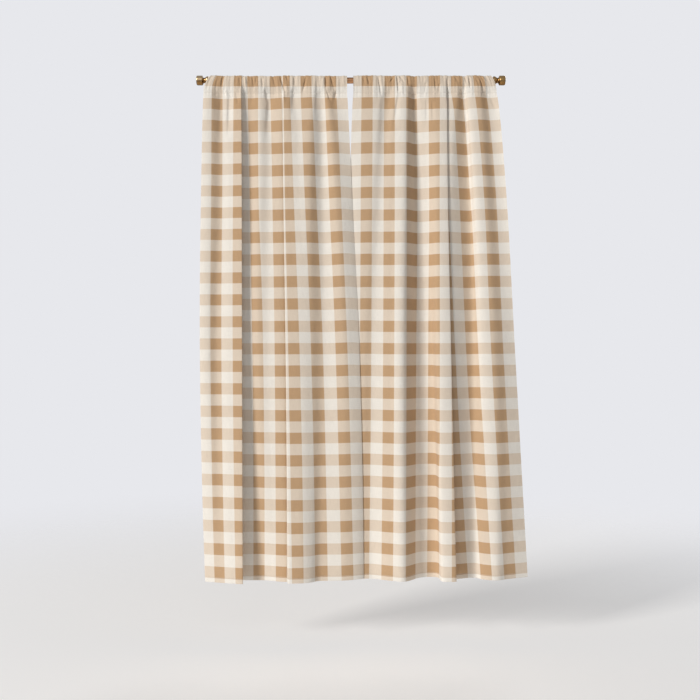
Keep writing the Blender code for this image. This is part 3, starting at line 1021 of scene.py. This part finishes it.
def floor_finish(studio):
    """A plain pale floor that fades into the backdrop far from the object."""
    finish = Finish("plain floor")
    (x, y, z), place = finish.object_place()
    cloudy = finish.noise(place, FLOOR_CLOUD_SCALE, 3.0)
    finish.set(
        Base_Color=tuple(studio.floor), Roughness=FLOOR_ROUGHNESS + cloudy * FLOOR_ROUGHNESS_SPREAD,
        Emission_Color=tuple(studio.floor), Emission_Strength=FLOOR_GLOW)
    away = (x * x + y * y).math("SQRT")
    clear = finish.node("ShaderNodeBsdfTransparent", {}, {})
    faded = finish.node(
        "ShaderNodeMixShader", {},
        {0: away.step(*FLOOR_FADE), 1: finish.shader.outputs[0], 2: clear.outputs[0]})
    finish.tree.links.new(faded.outputs[0], finish.output.inputs["Surface"])
    return finish.material


def set_world(studio):
    """An even room light, with a plain bright backdrop behind everything."""
    world = bpy.data.worlds.new("studio")
    world.use_nodes = True
    bpy.context.scene.world = world
    tree = world.node_tree
    room = tree.nodes["Background"]
    room.inputs[0].default_value = (*ROOM_COLOUR, 1.0)
    room.inputs[1].default_value = studio.sky_strength
    seen = tree.nodes.new("ShaderNodeBackground")
    seen.inputs[0].default_value = (*studio.backdrop, 1.0)
    seen.inputs[1].default_value = 1.0
    path = tree.nodes.new("ShaderNodeLightPath")
    mixed = tree.nodes.new("ShaderNodeMixShader")
    tree.links.new(path.outputs["Is Camera Ray"], mixed.inputs[0])
    tree.links.new(room.outputs[0], mixed.inputs[1])
    tree.links.new(seen.outputs[0], mixed.inputs[2])
    tree.links.new(mixed.outputs[0], tree.nodes["World Output"].inputs[0])


class CURTAIN_OT_set_studio(bpy.types.Operator):
    """Set the camera, the lights and the plain floor"""

    bl_idname = "curtain.set_studio"
    bl_label = "Set studio"

    def execute(self, context):
        studio = context.scene.curtain_studio
        camera = bpy.data.cameras.new("camera")
        camera.lens = camera.sensor_width * studio.camera_distance / studio.frame_width
        holder = bpy.data.objects.new("camera", camera)
        context.scene.collection.objects.link(holder)
        holder.location = (studio.camera_across, -studio.camera_distance, -studio.camera_drop)
        holder.rotation_euler = (pi / 2, 0.0, 0.0)
        context.scene.camera = holder

        middle = (0.0, 0.0, -studio.camera_drop)
        for lamp in LAMPS:
            add_light(lamp, getattr(studio, lamp.power), middle)

        bm = bmesh.new()
        bmesh.ops.create_circle(bm, cap_ends=True, segments=FLOOR_SIDES, radius=FLOOR_RADIUS)
        bmesh.ops.translate(bm, verts=bm.verts, vec=(0.0, 0.0, -studio.floor_drop))
        floor = finished_object("floor", bm)
        floor.data.materials.append(floor_finish(studio))
        set_world(studio)
        context.scene.view_settings.view_transform = "Standard"
        return {"FINISHED"}


class CURTAIN_PT_maker(bpy.types.Panel):
    """Lists the curtain's operators and settings"""

    bl_label = "Gingham curtain pair"
    bl_space_type = "VIEW_3D"
    bl_region_type = "UI"
    bl_category = "Curtain"

    def draw(self, context):
        layout = self.layout
        for maker in MAKERS:
            layout.operator(maker.bl_idname)
        for name in SETTINGS:
            box = layout.box()
            settings = getattr(context.scene, name)
            for key in SETTINGS[name].__annotations__:
                box.prop(settings, key)


SETTINGS = {
    "curtain_cloth": ClothSettings,
    "curtain_brass": BrassSettings,
    "curtain_studio": StudioSettings,
}
MAKERS = (
    CURTAIN_OT_set_studio,
    CURTAIN_OT_finish_rod,
    CURTAIN_OT_turn_finials,
    CURTAIN_OT_hang_panels,
)


def register():
    for cls in (*SETTINGS.values(), *MAKERS, CURTAIN_PT_maker):
        bpy.utils.register_class(cls)
    for name, settings in SETTINGS.items():
        setattr(bpy.types.Scene, name, bpy.props.PointerProperty(type=settings))


def unregister():
    for name in SETTINGS:
        delattr(bpy.types.Scene, name)
    for cls in reversed((*SETTINGS.values(), *MAKERS, CURTAIN_PT_maker)):
        bpy.utils.unregister_class(cls)


def main():
    register()
    bpy.ops.curtain.set_studio()
    bpy.ops.curtain.finish_rod()
    bpy.ops.curtain.turn_finials()
    bpy.ops.curtain.hang_panels()


if __name__ == "__main__":
    main()
